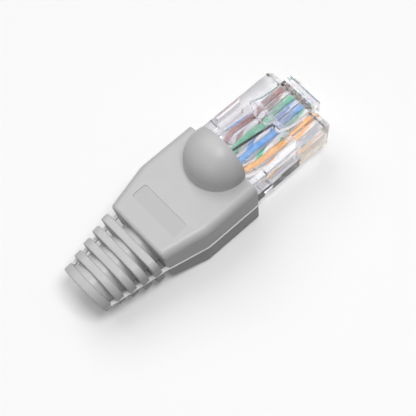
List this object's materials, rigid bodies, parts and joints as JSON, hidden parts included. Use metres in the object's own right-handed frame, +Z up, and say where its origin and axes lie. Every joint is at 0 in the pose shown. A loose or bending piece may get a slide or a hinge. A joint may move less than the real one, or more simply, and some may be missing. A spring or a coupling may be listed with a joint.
{
  "type": "modular plug strain relief boot",
  "caption": "Soft moulded strain relief boot with a domed latch guard and a ribbed tail, fitted on a clear modular network plug with its sorted wires.",
  "frame": {"origin": "on the surface the part rests on, under the middle of its bounding box", "axes": "+X from the boot's tail to the plug's nose, along the cable; +Y to the left; +Z up, from the flat underside to the latch"},
  "size_m": [0.0432, 0.0142, 0.0162],
  "materials": {
    "boot_vinyl": "soft grey moulded vinyl, satin",
    "clear_housing": "clear moulded polycarbonate, polished",
    "contact_gold": "gold-plated blade",
    "jacket_vinyl": "grey cable jacket",
    "wire_brown": "brown insulation",
    "wire_white_brown": "white insulation with a brown stripe",
    "wire_green": "green insulation",
    "wire_white_blue": "white insulation with a blue stripe",
    "wire_blue": "blue insulation",
    "wire_white_green": "white insulation with a green stripe",
    "wire_orange": "orange insulation",
    "wire_white_orange": "white insulation with an orange stripe"
  },
  "bodies": {
    "root": {"boot": "boot_vinyl", "plug_housing": "clear_housing", "cable_jacket": "jacket_vinyl", "wire_1": "wire_brown", "wire_2": "wire_white_brown", "wire_3": "wire_green", "wire_4": "wire_white_blue", "wire_5": "wire_blue", "wire_6": "wire_white_green", "wire_7": "wire_orange", "wire_8": "wire_white_orange", "contact_1": "contact_gold", "contact_2": "contact_gold", "contact_3": "contact_gold", "contact_4": "contact_gold", "contact_5": "contact_gold", "contact_6": "contact_gold", "contact_7": "contact_gold", "contact_8": "contact_gold"}
  },
  "joints": []
}
